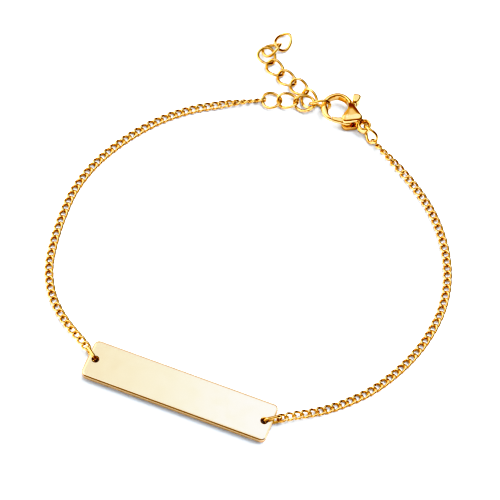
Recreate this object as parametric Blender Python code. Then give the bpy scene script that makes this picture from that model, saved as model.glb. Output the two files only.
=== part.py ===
"""Bar bracelet: a flat gold bar on a fine curb chain, closed by a lobster clasp.

The bracelet lies on a table with its loop open. The bar is at the lower left, a
fine curb chain runs from a ring in each of its holes, and an extender of larger
curb links ends the left chain. The clasp hangs on the right chain and holds the
fourth extender link. Lengths are in metres, +Z is up and the table is Z = 0.
"""

import math

import bmesh
import bpy
from mathutils import Euler, Matrix, Vector

# Bar. Its middle and heading are in the plan of the loop.
BAR_LENGTH = 0.02995
BAR_WIDTH = 0.0063
BAR_THICKNESS = 0.0011
BAR_CORNER_RADIUS = 0.0008
BAR_EDGE_BEVEL = 0.0002
BAR_HOLE_RADIUS = 0.00047
BAR_HOLE_INSET = 0.00122
BAR_X = -0.01063
BAR_Y = -0.02467
BAR_HEADING = -21.8

# Rings that stand in the bar's holes, round its thickness.
BAR_RING_LENGTH = 0.00305
BAR_RING_WIRE = 0.00046
BAR_RING_CORNER = 0.00075
BAR_RING_PLAY = 0.00013
LEFT_RING_HEADING = 122.0
RIGHT_RING_HEADING = 14.0

# Fine curb chain. Neighbours are joined by a seam of solder across a small gap, and
# near its ends the chain rises and rolls to meet the links that it hangs on.
CHAIN_PITCH = 0.0012
CHAIN_LINK_WIDTH = 0.00144
CHAIN_WIRE = 0.00036
CHAIN_TWIST = 0.00022
CHAIN_SEAM = 0.00004
CHAIN_RISE = 0.008
EXTENDER_END_ROLL = -63.0
CLASP_END_ROLL = -60.0
HOOK_PLAY = 0.00018

# Larger curb links of the extender and the clasp.
LINK_LENGTH = 0.00368
LINK_WIDTH = 0.0029
LINK_WIRE = 0.00046
LINK_TWIST = 0.00032
ROUND_LINK_LENGTH = 0.00342
ROUND_LINK_WIDTH = 0.0033
ROUND_LINK_TWIST = 0.0002
CLASP_LINK_LENGTH = 0.0034

# Lobster clasp. Its own X axis runs from the middle of the claw to the eye.
CLASP_X = 0.0138
CLASP_Y = 0.02455
CLASP_HEADING = -38.0
CLASP_HEIGHT = 0.0031
CLAW_RADIUS = 0.0026
CLAW_HEIGHT = 0.0018
EYE_DISTANCE = 0.0054
EYE_RADIUS = 0.00112
EYE_HOLE_RADIUS = 0.00056
EYE_HEIGHT = 0.0014
EYE_PLAY = 0.0002
PIVOT_X = 0.0028
PIVOT_Y = -0.0001
PIVOT_RADIUS = 0.0003
PIVOT_PLAY = 0.0001
HUB_RADIUS = 0.0007
LEVER_THICKNESS = 0.0008
LEVER_PLAY = 0.0001
LEVER_OPENING = 25.0
KNOB_X = 0.0014
KNOB_Y = 0.0033
KNOB_WIDTH = 0.00125
KNOB_DEPTH = 0.0012
KNOB_HEIGHT = 0.0016

# Sides of the turned and bent forms.
CHAIN_SEGMENTS = 10
LINK_SEGMENTS = 16
WIRE_SIDES = 5
ROUND_SIDES = 16
# A wire's flat inner side lies this share of its radius from its middle.
WIRE_FLAT = math.cos(math.pi / WIRE_SIDES)

# Plan of the two chains between their end links, in points chosen by hand:
# x and y in the plan of the loop.
LEFT_ROUTE = (
    (-0.0282, -0.0126),
    (-0.0303, -0.0083),
    (-0.0310, -0.0036),
    (-0.0304, 0.0012),
    (-0.0292, 0.0058),
    (-0.0275, 0.0103),
    (-0.0249, 0.0144),
    (-0.0216, 0.0179),
    (-0.0178, 0.0209),
    (-0.0137, 0.0233),
    (-0.0092, 0.0250),
    (-0.0045, 0.0259),
)
RIGHT_ROUTE = (
    (0.0237, 0.0139),
    (0.0262, 0.0103),
    (0.0283, 0.0064),
    (0.0297, 0.0022),
    (0.0304, -0.0021),
    (0.0303, -0.0065),
    (0.0293, -0.0108),
    (0.0274, -0.0148),
    (0.0249, -0.0184),
    (0.0218, -0.0216),
    (0.0183, -0.0243),
    (0.0144, -0.0263),
    (0.0102, -0.0278),
)

# The extender link in the clasp's hook: where its front end is in the claw, as an
# angle and a share of the claw's radius, then its heading, pitch and roll.
HOOK_ANGLE = 196.0
HOOK_REACH = 0.485
HOOK_LINK_LIE = (-15.0, 14.0, -76.0)

# Lie of the other extender links, chosen by hand. Each hangs on the link named after
# it. The middles lie x and y apart in shares of a link's length, and the link's lowest
# point lies over the table by a share of its wire. Heading, pitch and roll follow.
EXTENDER_LIE = (
    ("extender_link_2", "extender_link_3", -0.68, 0.08, 0.15, -9.0, 8.0, 26.0),
    ("extender_link_1", "extender_link_2", -0.71, 0.18, 0.24, -9.0, 5.0, 6.0),
    ("extender_ring_1", "extender_link_1", -0.69, 0.06, 0.11, 0.0, 0.0, -5.0),
    ("extender_link_4", "extender_link_3", -0.49, 0.35, 0.07, 111.0, 4.0, -27.0),
    ("extender_link_5", "extender_link_4", -0.40, 0.60, 0.22, 135.0, 2.0, 0.0),
    ("extender_link_6", "extender_link_5", -0.54, 0.45, 0.13, 137.0, 0.0, 2.0),
    ("extender_link_7", "extender_link_6", -0.50, 0.52, 0.09, 127.0, 0.0, 3.0),
    ("extender_ring_2", "extender_link_7", -0.36, 0.59, 0.22, 120.0, 10.0, 10.0),
    ("extender_link_8", "extender_ring_2", 0.24, 0.34, 0.37, 26.0, 13.0, -30.0),
    ("end_link", "extender_link_8", 0.48, 0.43, 0.30, 68.0, 0.0, 0.0),
)
CLASP_LINK_HEADING = -57.0
CLASP_LINK_PITCH = -19.0
CLASP_LINK_ROLL = 77.0

# Claw sections from its root to its tip: angle of the outer and the inner edge
# in degrees, then inner radius, outer radius and height as shares.
CLAW_SECTIONS = (
    (50.0, 50.0, 0.69, 1.00, 1.00),
    (75.0, 75.0, 0.70, 1.00, 0.98),
    (100.0, 100.0, 0.70, 1.00, 0.95),
    (125.0, 125.0, 0.70, 1.00, 0.90),
    (150.0, 150.0, 0.69, 1.00, 0.80),
    (175.0, 175.0, 0.69, 1.00, 0.70),
    (197.0, 197.0, 0.665, 1.00, 0.61),
    (217.0, 217.0, 0.60, 1.00, 0.58),
    (236.0, 236.0, 0.565, 0.99, 0.57),
    (253.0, 253.0, 0.65, 0.98, 0.56),
    (269.0, 263.0, 0.71, 0.97, 0.56),
    (284.0, 272.0, 0.74, 0.96, 0.56),
)

# Plans of the clasp's lower and upper shell, each the hull of three rounds: x, y and
# radius as shares of the claw's radius. The lower shell stands out past the upper one.
LOWER_ROUNDS = ((1.04, -0.44, 0.29), (1.40, -0.10, 0.29), (0.64, 0.58, 0.25))
UPPER_ROUNDS = ((0.83, -0.29, 0.24), (1.35, 0.15, 0.24), (0.64, 0.58, 0.25))
# Rows of each shell: share of the clasp's half height, and share of its plan.
LOWER_ROWS = ((-1.00, 0.80), (-0.93, 0.93), (-0.80, 1.00), (-0.35, 1.00))
UPPER_ROWS = ((0.35, 1.00), (0.52, 0.98), (0.72, 0.88), (0.88, 0.69), (0.97, 0.45), (1.0, 0.2))
# Outer edge of the lever from tip to hub, then its inner edge back, as x and y
# shares of the claw's radius.
LEVER_OUTER = ((0.285, -0.905), (0.54, -0.815), (0.88, -0.675), (1.14, -0.60), (1.33, -0.42))
LEVER_INNER = ((0.84, -0.19), (0.68, -0.33), (0.46, -0.52), (0.09, -0.69))

OVAL_LINK = (LINK_LENGTH, LINK_WIDTH, LINK_WIRE, LINK_TWIST, LINK_SEGMENTS)
ROUND_LINK = (ROUND_LINK_LENGTH, ROUND_LINK_WIDTH, LINK_WIRE, ROUND_LINK_TWIST, LINK_SEGMENTS)
CLASP_LINK = (CLASP_LINK_LENGTH, LINK_WIDTH, LINK_WIRE, LINK_TWIST, LINK_SEGMENTS)

GOLD = (0.86, 0.52, 0.17)
PALE_GOLD = (0.95, 0.82, 0.58)


def clear_scene():
    for old in list(bpy.data.objects):
        bpy.data.objects.remove(old, do_unlink=True)


def gold_material(name, colour, roughness):
    material = bpy.data.materials.new(name)
    material.use_nodes = True
    shader = material.node_tree.nodes["Principled BSDF"]
    shader.inputs["Base Color"].default_value = (*colour, 1.0)
    shader.inputs["Metallic"].default_value = 1.0
    shader.inputs["Roughness"].default_value = roughness
    return material


def add_object(name, mesh, parent, material):
    piece = bpy.data.objects.new(name, mesh)
    bpy.context.scene.collection.objects.link(piece)
    piece.parent = parent
    if not mesh.materials:
        mesh.materials.append(material)
    return piece


def add_helper(name, mesh, parent):
    helper = bpy.data.objects.new(name, mesh)
    bpy.context.scene.collection.objects.link(helper)
    helper.parent = parent
    helper.hide_render = True
    helper.display_type = "WIRE"
    return helper


def add_boolean(piece, helper, operation):
    modifier = piece.modifiers.new(helper.name, "BOOLEAN")
    modifier.operation = operation
    modifier.solver = "EXACT"
    modifier.object = helper


def finish_mesh(form, name, smooth_angle=35.0):
    bmesh.ops.recalc_face_normals(form, faces=form.faces)
    mesh = bpy.data.meshes.new(name)
    form.to_mesh(mesh)
    form.free()
    mesh.shade_smooth()
    mesh.set_sharp_from_angle(angle=math.radians(smooth_angle))
    return mesh


def loft(form, sections, closed=False):
    """Join rings of points with equal counts, capped unless the loft is closed."""
    rings = [[form.verts.new(point) for point in section] for section in sections]
    count = len(rings[0])
    spans = list(zip(rings, rings[1:]))
    if closed:
        spans.append((rings[-1], rings[0]))
    faces = []
    for low, high in spans:
        for i in range(count):
            j = (i + 1) % count
            faces.append(form.faces.new((low[i], low[j], high[j], high[i])))
    if not closed:
        form.faces.new(rings[0])
        form.faces.new(rings[-1])
    return faces


def direction(heading):
    angle = math.radians(heading)
    return Vector((math.cos(angle), math.sin(angle), 0.0))


def round_points(x, y, radius, count=ROUND_SIDES):
    return [(x + radius * math.cos(math.tau * i / count),
             y + radius * math.sin(math.tau * i / count)) for i in range(count)]


def prism(name, outline, low, high):
    form = bmesh.new()
    loft(form, [[(x, y, z) for x, y in outline] for z in (low, high)])
    return finish_mesh(form, name)


def wire_sections(centreline, wire):
    """Rings of a round wire along a closed centreline, with a flat on its inner side."""
    middle = sum(centreline, Vector()) / len(centreline)
    count = len(centreline)
    sections = []
    for i, point in enumerate(centreline):
        along = (centreline[(i + 1) % count] - centreline[i - 1]).normalized()
        outward = point - middle
        outward = (outward - along * outward.dot(along)).normalized()
        across = along.cross(outward)
        ring = []
        for k in range(WIRE_SIDES):
            angle = math.pi + math.tau * (k + 0.5) / WIRE_SIDES
            ring.append(point + (outward * math.cos(angle) + across * math.sin(angle)) * wire / 2)
        sections.append(ring)
    return sections


def curb_centreline(length, width, wire, twist, segments):
    """An oval link, twisted so that links that all lie alike pass through each other.

    The middles of its two end segments are its ends.
    """
    half_length = (length - wire) / 2 / math.cos(math.pi / segments)
    half_width = (width - wire) / 2
    points = []
    for i in range(segments):
        turn = math.tau * (i + 0.5) / segments
        points.append(Vector((half_length * math.cos(turn), half_width * math.sin(turn),
                              -twist * math.sin(2 * turn))))
    return points


def add_curb_link(form, place, length, width, wire, twist, segments):
    """Add a link, and return the flats on the inner side of its front and back ends."""
    centreline = curb_centreline(length, width, wire, twist, segments)
    faces = loft(form, [[place @ point for point in ring]
                        for ring in wire_sections(centreline, wire)], closed=True)
    return faces[-1], faces[segments // 2 * WIRE_SIDES - 1]


def solder(form, flat, other):
    """Join two flats that face each other by four sides."""
    near = list(flat.verts)
    far = list(reversed(other.verts))
    turns = [far[k:] + far[:k] for k in range(4)]
    far = min(turns, key=lambda turn: sum((a.co - b.co).length for a, b in zip(near, turn)))
    form.faces.remove(flat)
    form.faces.remove(other)
    for i in range(4):
        j = (i + 1) % 4
        form.faces.new((near[i], near[j], far[j], far[i]))


def lie_matrix(position, heading, pitch, roll):
    """Place from a heading in plan, a pitch that lifts the front, and a roll."""
    turn = Euler((math.radians(roll), -math.radians(pitch), math.radians(heading)), "XYZ")
    return Matrix.Translation(position) @ turn.to_matrix().to_4x4()


def smooth_route(points, steps=12):
    """Points along a Catmull-Rom curve through the route's own points."""
    ends = [points[0] * 2 - points[1], *points, points[-1] * 2 - points[-2]]
    route = []
    for before, start, stop, after in zip(ends, ends[1:], ends[2:], ends[3:]):
        for i in range(steps):
            t = i / steps
            route.append(0.5 * (2 * start + (stop - before) * t
                                + (2 * before - 5 * start + 4 * stop - after) * t * t
                                + (3 * start - before - 3 * stop + after) * t * t * t))
    route.append(points[-1])
    return route


def walk(route, distance):
    """The point at a distance along a route."""
    for start, stop in zip(route, route[1:]):
        step = (stop - start).length
        if distance <= step:
            return start.lerp(stop, distance / step)
        distance -= step
    return route[-1]


def ease(share):
    share = min(max(share, 0.0), 1.0)
    return share * share * (3 - 2 * share)


def chain_link():
    """Sizes of a fine link, long enough for the gap between it and the next."""
    length = CHAIN_PITCH + CHAIN_WIRE * (1 + WIRE_FLAT) + CHAIN_SEAM
    return length, CHAIN_LINK_WIDTH, CHAIN_WIRE, CHAIN_TWIST, CHAIN_SEGMENTS


def resting_height(link, turn):
    """Height of a turned link's middle when its lowest point is on the table."""
    return link[2] / 2 - min((turn @ point).z for point in curb_centreline(*link))


def chain_lies(start, stop, start_roll, stop_roll, plan):
    """Place of each fine link between two end links, resting on the table between them."""
    link = chain_link()
    rest = resting_height(link, Matrix())
    route = smooth_route([start.to_2d(), *[Vector(point) for point in plan], stop.to_2d()])
    length = sum((b - a).length for a, b in zip(route, route[1:]))
    gaps = round(length / CHAIN_PITCH)
    centres = []
    rolls = []
    for i in range(gaps + 1):
        distance = length * i / gaps
        near_start = 1 - ease(distance / CHAIN_RISE)
        near_stop = 1 - ease((length - distance) / CHAIN_RISE)
        roll = start_roll * near_start + stop_roll * near_stop
        lift = (start.z - rest) * near_start + (stop.z - rest) * near_stop
        floor = resting_height(link, lie_matrix(Vector(), 0.0, 0.0, roll))
        centres.append(Vector((*walk(route, distance), max(rest + lift, floor))))
        rolls.append(roll)
    lies = []
    for i, (centre, roll) in enumerate(zip(centres, rolls)):
        run = centres[min(i + 1, gaps)] - centres[max(i - 1, 0)]
        heading = math.degrees(math.atan2(run.y, run.x))
        pitch = math.degrees(math.atan2(run.z, run.to_2d().length))
        lies.append(lie_matrix(centre, heading, pitch, roll))
    return lies


def fine_chain(name, ends, rolls, plan, root, material):
    """A curb chain in one body, each link soldered to the next where they hook."""
    form = bmesh.new()
    front = None
    for lie in chain_lies(*ends, *rolls, plan):
        next_front, back = add_curb_link(form, lie, *chain_link())
        if front:
            solder(form, front, back)
        front = next_front
    return add_object(name, finish_mesh(form, name, 80.0), root, material)


def curb_link(name, kind, place, root, material):
    form = bmesh.new()
    add_curb_link(form, Matrix(), *kind)
    link = add_object(name, finish_mesh(form, name, 80.0), root, material)
    link.matrix_local = place
    return link


def rounded_rectangle(length, width, radius, steps):
    corners = ((1, 1, 0), (-1, 1, 90), (-1, -1, 180), (1, -1, 270))
    outline = []
    for side_x, side_y, first in corners:
        x = side_x * (length / 2 - radius)
        y = side_y * (width / 2 - radius)
        for i in range(steps + 1):
            angle = math.radians(first + 90 * i / steps)
            outline.append((x + radius * math.cos(angle), y + radius * math.sin(angle)))
    return outline


def bar_mesh():
    """Plate with rounded corners and a bevelled edge, and a plain panel on each face."""
    steps = 6
    bevel = BAR_EDGE_BEVEL
    panel_x = BAR_LENGTH / 2 - 2 * BAR_HOLE_INSET - BAR_RING_LENGTH / 2
    panel_y = BAR_WIDTH / 2 - 2 * BAR_EDGE_BEVEL
    rows = ((0.0, bevel), (0.35 * bevel, 0.35 * bevel), (bevel, 0.0))
    levels = [(-BAR_THICKNESS / 2 + z, inset) for z, inset in rows]
    levels += [(-z, inset) for z, inset in reversed(levels)]
    form = bmesh.new()
    rings = []
    for z, inset in levels:
        outline = rounded_rectangle(BAR_LENGTH - 2 * inset, BAR_WIDTH - 2 * inset,
                                    BAR_CORNER_RADIUS - inset, steps)
        rings.append([form.verts.new((x, y, z)) for x, y in outline])
    count = len(rings[0])
    for low, high in zip(rings, rings[1:]):
        for i in range(count):
            j = (i + 1) % count
            form.faces.new((low[i], low[j], high[j], high[i]))
    for ring, z in ((rings[0], levels[0][0]), (rings[-1], levels[-1][0])):
        corners = [form.verts.new((sx * panel_x, sy * panel_y, z))
                   for sx, sy in ((1, 1), (-1, 1), (-1, -1), (1, -1))]
        form.faces.new(corners)
        quarter = steps + 1
        for side in range(4):
            first = side * quarter
            end_cap = [ring[(first + steps // 2 + k) % count] for k in range(quarter + 1)]
            form.faces.new((*end_cap, corners[(side + 1) % 4], corners[side]))
    return finish_mesh(form, "bar", 30.0)


def bar_matrix():
    height = BAR_RING_WIRE + BAR_RING_PLAY + BAR_THICKNESS / 2
    return lie_matrix(Vector((BAR_X, BAR_Y, height)), BAR_HEADING, 0.0, 0.0)


def hole_middle(side):
    """Middle of the bar's left (-1) or right (1) hole, in the plan of the loop."""
    return bar_matrix() @ Vector((side * (BAR_LENGTH / 2 - BAR_HOLE_INSET), 0.0, 0.0))


def add_bar(root, material):
    bar = add_object("bar", bar_mesh(), root, material)
    bar.matrix_local = bar_matrix()
    for side, name in ((-1, "left"), (1, "right")):
        cutter = add_helper("bar_hole_" + name, prism("bar_hole_" + name, round_points(
            0.0, 0.0, BAR_HOLE_RADIUS), -BAR_THICKNESS, BAR_THICKNESS), root)
        cutter.location = hole_middle(side)
        add_boolean(bar, cutter, "DIFFERENCE")
    return bar


def bar_ring(name, side, heading, root, material):
    """Ring that stands through a hole and round the bar's edge."""
    height = BAR_THICKNESS + 2 * BAR_RING_PLAY + 2 * BAR_RING_WIRE
    outline = rounded_rectangle(BAR_RING_LENGTH - BAR_RING_WIRE, height - BAR_RING_WIRE,
                                BAR_RING_CORNER, 3)
    centreline = [Vector((x, 0.0, z)) for x, z in outline]
    form = bmesh.new()
    loft(form, wire_sections(centreline, BAR_RING_WIRE), closed=True)
    ring = add_object(name, finish_mesh(form, name, 80.0), root, material)
    middle = hole_middle(side) + direction(heading) * (BAR_RING_LENGTH - BAR_RING_WIRE) / 2
    ring.matrix_local = lie_matrix(middle, heading, 0.0, 0.0)
    return ring


def end_seat(wire):
    """How far an end link's middle lies beyond the wire that it hangs on."""
    return (chain_link()[0] - CHAIN_WIRE - (CHAIN_WIRE + wire) * WIRE_FLAT) / 2 - HOOK_PLAY


def bar_end(side, heading):
    """Middle of the fine link that hangs on a bar ring."""
    reach = BAR_RING_LENGTH - BAR_RING_WIRE + end_seat(BAR_RING_WIRE)
    return hole_middle(side) + direction(heading) * reach


def clasp_matrix():
    return lie_matrix(Vector((CLASP_X, CLASP_Y, CLASP_HEIGHT / 2)), CLASP_HEADING, 0.0, 0.0)


def clasp_link_middle():
    """Where the clasp's link rests on the table with one end in the eye."""
    eye = clasp_matrix() @ Vector((EYE_DISTANCE, 0.0, 0.0))
    seat = EYE_HOLE_RADIUS - LINK_WIRE / 2 - EYE_PLAY
    half = (CLASP_LINK_LENGTH - LINK_WIRE) / 2
    turn = lie_matrix(Vector(), CLASP_LINK_HEADING, CLASP_LINK_PITCH, CLASP_LINK_ROLL)
    middle = eye + direction(CLASP_LINK_HEADING) * seat + turn @ Vector((half, 0.0, 0.0))
    middle.z = resting_height(CLASP_LINK, turn)
    return middle


def clasp_link_end():
    """Middle of the fine link that hangs on the clasp's link."""
    turn = lie_matrix(Vector(), CLASP_LINK_HEADING, CLASP_LINK_PITCH, CLASP_LINK_ROLL)
    reach = (CLASP_LINK_LENGTH - LINK_WIRE) / 2 + end_seat(LINK_WIRE)
    return clasp_link_middle() + turn @ Vector((reach, 0.0, 0.0))


def extender_form(name):
    return ROUND_LINK if "ring" in name else OVAL_LINK


def extender_places():
    """Place of each extender link by name, out both ways from the one in the hook."""
    turn = lie_matrix(Vector(), *HOOK_LINK_LIE)
    front = clasp_matrix() @ (direction(HOOK_ANGLE) * CLAW_RADIUS * HOOK_REACH)
    middle = front - turn @ Vector(((LINK_LENGTH - LINK_WIRE) / 2, 0.0, 0.0))
    middle.z = resting_height(OVAL_LINK, turn)
    places = {"extender_link_3": Matrix.Translation(middle) @ turn}
    for name, holder, x, y, lift, *angles in EXTENDER_LIE:
        turn = lie_matrix(Vector(), *angles)
        middle = places[holder].translation + Vector((x, y, 0.0)) * LINK_LENGTH
        middle.z = resting_height(extender_form(name), turn) + lift * LINK_WIRE
        places[name] = Matrix.Translation(middle) @ turn
    return places


def extender_start():
    """Middle of the fine link that hangs on the extender's first ring."""
    reach = (ROUND_LINK_LENGTH - LINK_WIRE) / 2 + end_seat(LINK_WIRE)
    return extender_places()["extender_ring_1"] @ Vector((-reach, 0.0, 0.0))


def hull_outline(rounds, steps):
    """Outline round a ring of circles, given anticlockwise, with tangent sides."""
    tangents = []
    for (x0, y0, r0), (x1, y1, r1) in zip(rounds, rounds[1:] + rounds[:1]):
        run = Vector((x1 - x0, y1 - y0))
        lean = math.asin((r0 - r1) / run.length)
        tangents.append(math.atan2(run.y, run.x) - math.pi / 2 + lean)
    outline = []
    for i, (x, y, radius) in enumerate(rounds):
        first = tangents[i - 1]
        sweep = (tangents[i] - first) % math.tau
        for k in range(steps + 1):
            angle = first + sweep * k / steps
            outline.append((x + radius * math.cos(angle), y + radius * math.sin(angle)))
    return outline


def body_mesh():
    """Flat-based lower shell and domed upper shell, sloped between them at the slot."""
    form = bmesh.new()
    sections = []
    for plan, rows in ((LOWER_ROUNDS, LOWER_ROWS), (UPPER_ROUNDS, UPPER_ROWS)):
        rounds = [[value * CLAW_RADIUS for value in row] for row in plan]
        outline = [Vector(point) for point in hull_outline(rounds, 4)]
        middle = sum(outline, Vector((0.0, 0.0))) / len(outline)
        for share, size in rows:
            sections.append([(*middle.lerp(point, size), share * CLASP_HEIGHT / 2)
                             for point in outline])
    loft(form, sections)
    return finish_mesh(form, "clasp_body")


def claw_mesh():
    """Hook of the clasp, from its root in the body round to its tip at the gate."""
    form = bmesh.new()
    sections = []
    for outer_angle, inner_angle, inner, outer, height in CLAW_SECTIONS:
        inside = direction(inner_angle) * CLAW_RADIUS * inner
        outside = direction(outer_angle) * CLAW_RADIUS * outer
        half = CLAW_HEIGHT * height / 2
        profile = ((0.0, -0.6), (0.0, 0.6), (0.22, 1.0), (0.62, 1.0), (0.93, 0.62),
                   (1.0, 0.0), (0.93, -0.62), (0.62, -1.0), (0.22, -1.0))
        section = []
        for across, up in profile:
            point = inside.lerp(outside, across)
            point.z = half * up
            section.append(point)
        sections.append(section)
    loft(form, sections)
    return finish_mesh(form, "clasp_claw")


def eye_mesh():
    """Barrel ring, more rounded towards its hole."""
    mid_radius = (EYE_RADIUS + EYE_HOLE_RADIUS) / 2
    half_width = (EYE_RADIUS - EYE_HOLE_RADIUS) / 2
    profile = ((1.0, -0.5), (1.0, 0.5), (0.5, 1.0), (-0.3, 0.97),
               (-1.0, 0.4), (-1.0, -0.4), (-0.3, -0.97), (0.5, -1.0))
    form = bmesh.new()
    sections = []
    for i in range(ROUND_SIDES):
        out = direction(360.0 * i / ROUND_SIDES)
        ring = []
        for across, up in profile:
            point = out * (mid_radius + half_width * across)
            point.x += EYE_DISTANCE
            point.z = EYE_HEIGHT / 2 * up
            ring.append(point)
        sections.append(ring)
    loft(form, sections, closed=True)
    return finish_mesh(form, "clasp_eye")


def slot_outline():
    """Room for the lever, closed and open: round the hub, the gate and the knob's arm."""
    pivot = Vector((PIVOT_X, PIVOT_Y))
    hub = HUB_RADIUS + PIVOT_PLAY
    reach = 1.1 * CLAW_RADIUS
    gate_tip = Vector(LEVER_INNER[-1]) * CLAW_RADIUS - pivot
    gate = math.degrees(math.atan2(gate_tip.y, gate_tip.x)) % 360
    knob = math.degrees(math.atan2(KNOB_Y - PIVOT_Y, KNOB_X - PIVOT_X))
    arm = KNOB_WIDTH * 0.3 + LEVER_PLAY
    inner = LEVER_PLAY + 0.4 * HUB_RADIUS

    def edge(heading, offset, far):
        along = direction(heading).to_2d()
        aside = Vector((-along.y, along.x)) * offset
        distance = reach if far else math.sqrt(hub * hub - offset * offset)
        return tuple(pivot + aside + along * distance)

    opened = gate - LEVER_OPENING
    outline = [edge(opened, -inner, False), edge(opened, -inner, True),
               edge((opened + 300.0) / 2, 0.0, True), edge(300.0, 0.0, True),
               edge(345.0, 0.0, True), edge(345.0, 0.0, False)]
    for heading in (5.0, 30.0, 55.0):
        outline.append(edge(heading, 0.0, False))
    outline += [edge(knob - LEVER_OPENING, -arm, False), edge(knob - LEVER_OPENING, -arm, True),
                edge(knob, arm, True), edge(knob, arm, False)]
    outline += [edge(150.0, 0.0, False), edge(170.0, 0.0, False)]
    return outline


def add_clasp_body(root, material):
    body = add_object("clasp_body", body_mesh(), root, material)
    body.matrix_local = clasp_matrix()
    slot = LEVER_THICKNESS / 2 + LEVER_PLAY
    neck_start = LOWER_ROUNDS[1][0] * CLAW_RADIUS
    neck_stop = EYE_DISTANCE - (EYE_RADIUS + EYE_HOLE_RADIUS) / 2
    neck_half = EYE_RADIUS * 0.4
    neck = ((neck_start, -neck_half), (neck_stop, -neck_half),
            (neck_stop, neck_half), (neck_start, neck_half))
    pin = round_points(PIVOT_X, PIVOT_Y, PIVOT_RADIUS, 12)
    steps = (
        ("clasp_claw", claw_mesh(), "UNION"),
        ("clasp_eye", eye_mesh(), "UNION"),
        ("clasp_neck", prism("clasp_neck", neck, -EYE_HEIGHT * 0.36, EYE_HEIGHT * 0.36), "UNION"),
        ("clasp_slot", prism("clasp_slot", slot_outline(), -slot, slot), "DIFFERENCE"),
        ("clasp_pin", prism("clasp_pin", pin, -CLASP_HEIGHT * 0.4, CLASP_HEIGHT * 0.4), "UNION"),
    )
    for name, mesh, operation in steps:
        helper = add_helper(name, mesh, root)
        helper.matrix_local = clasp_matrix()
        add_boolean(body, helper, operation)
    return body


def knob_mesh():
    """Rounded thumb knob at the end of the lever's arm."""
    form = bmesh.new()
    sections = []
    for share, size in ((-1.0, 0.72), (-0.8, 0.94), (0.0, 1.0), (0.8, 0.94), (1.0, 0.72)):
        outline = rounded_rectangle(KNOB_WIDTH * size, KNOB_DEPTH * size,
                                    KNOB_DEPTH * 0.4 * size, 2)
        sections.append([(x, y, share * KNOB_HEIGHT / 2) for x, y in outline])
    loft(form, sections)
    return finish_mesh(form, "lever_knob")


def add_clasp_lever(root, material):
    """Gate, hub and knob in one piece, with its origin on the pivot."""
    pivot = Vector((PIVOT_X, PIVOT_Y, 0.0))
    outer = [Vector(point) * CLAW_RADIUS - pivot.to_2d() for point in LEVER_OUTER]
    inner = [Vector(point) * CLAW_RADIUS - pivot.to_2d() for point in LEVER_INNER]
    knob = Vector((KNOB_X - PIVOT_X, KNOB_Y - PIVOT_Y))
    along = knob.normalized()
    aside = Vector((along.y, -along.x)) * KNOB_WIDTH * 0.3
    hub_turns = [direction(heading).to_2d() * HUB_RADIUS for heading in (-30.0, 10.0, 50.0)]
    arm_root = math.sqrt(HUB_RADIUS ** 2 - aside.length_squared)
    outline = [*outer, *hub_turns, along * arm_root + aside, knob + aside, knob - aside,
               along * arm_root - aside, direction(155.0).to_2d() * HUB_RADIUS, *inner]
    half = LEVER_THICKNESS / 2
    form = bmesh.new()
    loft(form, [[(*point, z) for point in outline] for z in (-half, half)])
    place = clasp_matrix() @ Matrix.Translation(pivot)
    lever = add_object("clasp_lever", finish_mesh(form, "clasp_lever"), root, material)
    lever.matrix_local = place
    bore = prism("lever_bore", round_points(0.0, 0.0, PIVOT_RADIUS + PIVOT_PLAY, 12),
                 -LEVER_THICKNESS, LEVER_THICKNESS)
    for name, mesh, shift, operation in (("lever_bore", bore, Vector(), "DIFFERENCE"),
                                         ("lever_knob", knob_mesh(), knob.to_3d(), "UNION")):
        helper = add_helper(name, mesh, root)
        turn = Matrix.Rotation(math.atan2(along.y, along.x) - math.pi / 2, 4, "Z")
        helper.matrix_local = place @ Matrix.Translation(shift) @ turn
        add_boolean(lever, helper, operation)
    return lever


def centre_on_origin(root, pieces):
    """Shift the whole bracelet so that its box stands centred on the origin."""
    bpy.context.view_layer.update()
    graph = bpy.context.evaluated_depsgraph_get()
    points = []
    for piece in pieces:
        final = piece.evaluated_get(graph)
        points += [final.matrix_world @ vertex.co for vertex in final.data.vertices]
    low = [min(point[i] for point in points) for i in range(3)]
    high = [max(point[i] for point in points) for i in range(3)]
    root.location = (-(low[0] + high[0]) / 2, -(low[1] + high[1]) / 2, -low[2])


def build():
    clear_scene()
    root = bpy.data.objects.new("bracelet_root", None)
    bpy.context.scene.collection.objects.link(root)
    gold = gold_material("polished_gold", GOLD, 0.18)
    pale = gold_material("mirror_gold", PALE_GOLD, 0.12)
    pieces = [add_bar(root, pale)]
    pieces.append(bar_ring("bar_ring_left", -1, LEFT_RING_HEADING, root, gold))
    pieces.append(bar_ring("bar_ring_right", 1, RIGHT_RING_HEADING, root, gold))
    left_ends = (bar_end(-1, LEFT_RING_HEADING), extender_start())
    right_ends = (clasp_link_end(), bar_end(1, RIGHT_RING_HEADING))
    pieces.append(fine_chain("chain_left", left_ends, (0.0, EXTENDER_END_ROLL),
                             LEFT_ROUTE, root, gold))
    pieces.append(fine_chain("chain_right", right_ends, (CLASP_END_ROLL, 0.0),
                             RIGHT_ROUTE, root, gold))
    for name, place in extender_places().items():
        pieces.append(curb_link(name, extender_form(name), place, root, gold))
    clasp_link_place = lie_matrix(clasp_link_middle(), CLASP_LINK_HEADING, CLASP_LINK_PITCH,
                                  CLASP_LINK_ROLL)
    pieces.append(curb_link("clasp_link", CLASP_LINK, clasp_link_place, root, gold))
    pieces.append(add_clasp_body(root, gold))
    pieces.append(add_clasp_lever(root, gold))
    centre_on_origin(root, pieces)


build()
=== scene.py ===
"""Looks of the bar bracelet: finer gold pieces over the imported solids, floor and light."""
import math

import bmesh
import bpy
from mathutils import Euler, Matrix, Vector


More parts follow.
